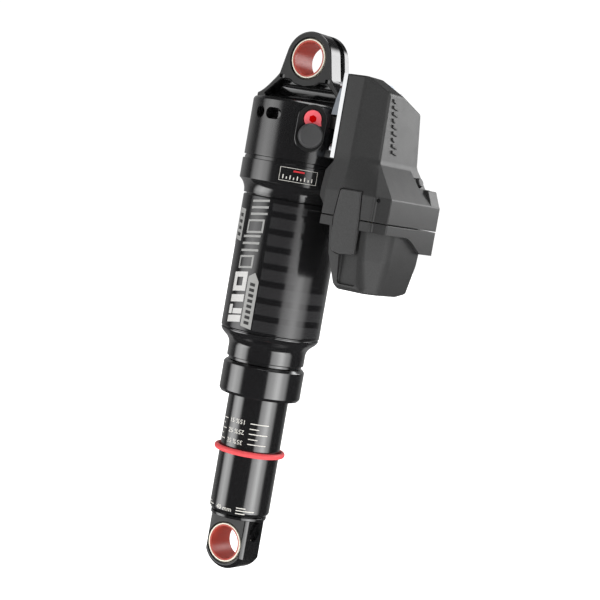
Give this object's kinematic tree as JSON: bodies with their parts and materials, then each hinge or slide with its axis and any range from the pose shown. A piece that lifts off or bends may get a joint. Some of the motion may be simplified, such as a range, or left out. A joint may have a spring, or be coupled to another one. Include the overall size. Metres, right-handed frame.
{
  "type": "rear shock",
  "caption": "Bicycle rear shock: air spring with a sliding damper body between two bushed eyelets, and an electric lockout module with a removable battery beside the head.",
  "frame": {"origin": "centre of the upper eye, where the upper bolt crosses the shock's axis", "axes": "+Z along the shock's axis towards the upper eye, the lower eye is at 190 mm below; both bolts lie along Y; the electronic module is on the +X side"},
  "size_m": [0.0767, 0.0458, 0.2106],
  "materials": {
    "satin_black_anodised": "satin black anodised forging, faces machined",
    "gloss_black_anodised": "gloss black anodised, turned and polished",
    "bushing_liner": "bronze-backed bushing with a red-brown low-friction lining",
    "polished_alloy": "polished edge, fine brushed faces",
    "machined_alloy": "clear machined",
    "hardened_steel": "hardened, dark zinc or ground",
    "red_anodised": "bright red anodised, satin",
    "red_rubber": "coral red elastomer",
    "black_rubber": "black elastomer",
    "housing_plastic": "dark grey moulded, fine spark-eroded grain",
    "cap_plastic": "dark grey moulded, smooth",
    "circuit_board": "solder mask",
    "contact_metal": "gold flashed",
    "clear_lens": "clear"
  },
  "bodies": {
    "upper_body": {"head": "satin_black_anodised", "upper_bushing": "bushing_liner", "air_can_body": "gloss_black_anodised", "air_can_sleeve": "gloss_black_anodised", "sleeve_seal_upper": "black_rubber", "sleeve_seal_lower": "black_rubber", "head_seal": "black_rubber", "air_can_end": "gloss_black_anodised", "seal_head": "gloss_black_anodised", "glide_bush": "bushing_liner", "shaft_seal": "black_rubber", "dust_wiper": "black_rubber", "top_out_bumper": "black_rubber", "bottom_out_bumper": "black_rubber", "damper_rod": "hardened_steel", "rebound_shims": "hardened_steel", "damper_piston": "machined_alloy", "piston_band": "black_rubber", "compression_shims": "hardened_steel", "piston_nut": "hardened_steel", "valve_stem": "machined_alloy", "manifold_plate": "polished_alloy", "manifold_bolt_1": "hardened_steel", "manifold_bolt_2": "hardened_steel", "housing_screw_1": "hardened_steel", "housing_screw_2": "hardened_steel", "housing_screw_3": "hardened_steel", "housing_screw_4": "hardened_steel", "module_upper_housing": "housing_plastic", "module_lower_housing": "housing_plastic", "battery_contacts": "contact_metal", "latch_pin": "hardened_steel", "status_lens": "clear_lens", "drive_motor": "hardened_steel", "circuit_board": "circuit_board"},
    "lower_body": {"damper_body": "gloss_black_anodised", "air_piston": "machined_alloy", "air_piston_seal": "black_rubber", "rod_guide": "machined_alloy", "rod_seal": "black_rubber", "lower_eyelet": "satin_black_anodised", "lower_bushing": "bushing_liner", "gas_fill_screw": "hardened_steel"},
    "sag_ring_body": {"sag_ring": "red_rubber"},
    "floating_piston_body": {"floating_piston": "machined_alloy", "floating_piston_seal": "black_rubber"},
    "rebound_knob_body": {"rebound_knob": "red_anodised"},
    "valve_cap_body": {"valve_cap": "cap_plastic"},
    "valve_pin_body": {"valve_pin": "hardened_steel"},
    "battery_body": {"battery": "housing_plastic"},
    "battery_latch_body": {"battery_latch": "housing_plastic"},
    "pairing_button_body": {"pairing_button": "cap_plastic"},
    "compression_spool_body": {"compression_spool": "hardened_steel"}
  },
  "joints": [
    {"name": "stroke", "type": "slide", "parent": "upper_body", "child": "lower_body", "axis": [0, 0, 1], "range_m": [0, 0.04], "stiffness_N_per_m": 10000, "springref_m": -0.002},
    {"name": "sag_ring_slide", "type": "slide", "parent": "lower_body", "child": "sag_ring_body", "axis": [0, 0, 1], "range_m": [-0.0212, 0]},
    {"name": "floating_piston_slide", "type": "slide", "parent": "lower_body", "child": "floating_piston_body", "axis": [0, 0, 1], "range_m": [-0.0086, 0]},
    {"name": "rebound_turn", "type": "hinge", "parent": "upper_body", "child": "rebound_knob_body", "pos_m": [0.0145, -0.01759, -0.023], "axis": [0.6361, -0.7716, 0], "range_deg": [0, 240]},
    {"name": "valve_cap_slide", "type": "slide", "parent": "upper_body", "child": "valve_cap_body", "axis": [0.6361, -0.7716, 0], "range_m": [0, 0.012]},
    {"name": "valve_pin_press", "type": "slide", "parent": "upper_body", "child": "valve_pin_body", "axis": [-0.6361, 0.7716, 0], "range_m": [0, 0.0012], "stiffness_N_per_m": 300, "springref_m": -0.001},
    {"name": "battery_latch_turn", "type": "hinge", "parent": "upper_body", "child": "battery_latch_body", "pos_m": [0.039, -0.0194, -0.0483], "axis": [-1, 0, 0], "range_deg": [0, 75]},
    {"name": "battery_slide", "type": "slide", "parent": "upper_body", "child": "battery_body", "axis": [0, 0, -1], "range_m": [0, 0.033]},
    {"name": "pairing_button_press", "type": "slide", "parent": "upper_body", "child": "pairing_button_body", "axis": [-0.9155, 0, -0.4023], "range_m": [0, 0.0006], "stiffness_N_per_m": 400, "springref_m": -0.001},
    {"name": "compression_spool_turn", "type": "hinge", "parent": "upper_body", "child": "compression_spool_body", "pos_m": [0.025, 0, -0.027], "axis": [1, 0, 0], "range_deg": [0, 90]}
  ],
  "couplings": [
    {"joint": "sag_ring_slide", "follows": "stroke", "ratio": -0.53},
    {"joint": "floating_piston_slide", "follows": "stroke", "ratio": -0.213}
  ]
}
